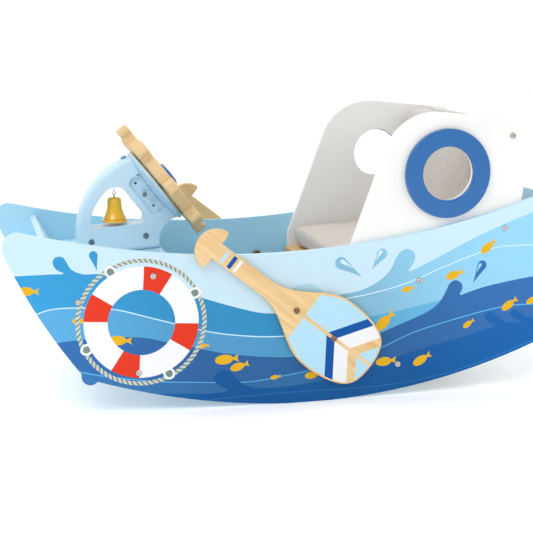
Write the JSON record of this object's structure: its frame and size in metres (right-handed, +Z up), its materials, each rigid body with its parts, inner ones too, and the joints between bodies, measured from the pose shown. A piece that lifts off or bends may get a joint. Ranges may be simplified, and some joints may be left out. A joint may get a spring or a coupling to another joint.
{
  "type": "toy rocking boat",
  "caption": "Ride-on wooden rocking boat with curved rocker side panels, padded seat between porthole cabin sides, steering wheel, hanging bell and side paddles.",
  "frame": {"origin": "on the floor, below the middle of the boat's length and width, with the boat at rest on the flats of its rockers", "axes": "+X towards the stern, +Y to starboard, +Z up; the level deck and seat lean 4.1 degrees bow-down in this rest attitude"},
  "size_m": [0.919, 0.386, 0.4305],
  "materials": {
    "printed_panel": "satin",
    "blue_board": "satin",
    "cream_board": "satin",
    "white_board": "satin",
    "plywood": "satin",
    "console_plastic": "satin",
    "blue_plastic": "gloss",
    "plug_plastic": "gloss",
    "cushion_fabric": "matte",
    "cord": "matte",
    "screw_steel": "satin",
    "ballast_steel": "satin",
    "axle_steel": "satin",
    "bell_metal": "gloss",
    "spacer_plastic": "matte"
  },
  "bodies": {
    "boat": {"port_hull_panel": "printed_panel", "starboard_hull_panel": "printed_panel", "port_cabin_side": "white_board", "starboard_cabin_side": "white_board", "port_porthole_ring": "blue_plastic", "starboard_porthole_ring": "blue_plastic", "console_port_half": "console_plastic", "console_starboard_half": "console_plastic", "port_paddle": "plywood", "starboard_paddle": "plywood", "port_hull_screws": "screw_steel", "starboard_hull_screws": "screw_steel", "bow_board": "blue_board", "stern_board": "blue_board", "foredeck": "cream_board", "floor_board": "cream_board", "stretcher": "plywood", "bow_weight": "ballast_steel", "weight_screws": "screw_steel", "back_board": "white_board", "back_cushion": "cushion_fabric", "seat_board": "plywood", "seat_front_rail": "plywood", "seat_rear_rail": "plywood", "seat_cushion": "cushion_fabric", "dash": "console_plastic", "top_plug": "plug_plastic", "wheel_axle": "axle_steel", "wheel_washer": "spacer_plastic", "paddle_spacers": "spacer_plastic", "paddle_bolts": "screw_steel", "paddle_nuts": "screw_steel", "cabin_screws": "screw_steel", "console_screws": "screw_steel", "console_foot_screws": "screw_steel"},
    "steering_wheel": {"steering_wheel": "plywood", "wheel_hub_cap": "plug_plastic"},
    "bell_string": {"bell_string": "cord"},
    "bell": {"bell": "bell_metal"},
    "bell_clapper": {"bell_clapper": "bell_metal"}
  },
  "joints": [
    {"name": "wheel_spin", "type": "hinge", "parent": "boat", "child": "steering_wheel", "pos_m": [-0.21718, 0, 0.31422], "axis": [0.7976, 0, 0.6032], "continuous": true},
    {"name": "string_swing", "type": "hinge", "parent": "boat", "child": "bell_string", "pos_m": [-0.28038, 0, 0.31471], "axis": [1, 0, 0], "range_deg": [-30, 30]},
    {"name": "bell_swing", "type": "hinge", "parent": "bell_string", "child": "bell", "pos_m": [-0.28038, 0, 0.30376], "axis": [0, 1, 0], "range_deg": [-12, 12]},
    {"name": "clapper_swing", "type": "hinge", "parent": "bell", "child": "bell_clapper", "pos_m": [-0.28038, 0, 0.29336], "axis": [1, 0, 0], "range_deg": [-20, 20]}
  ]
}
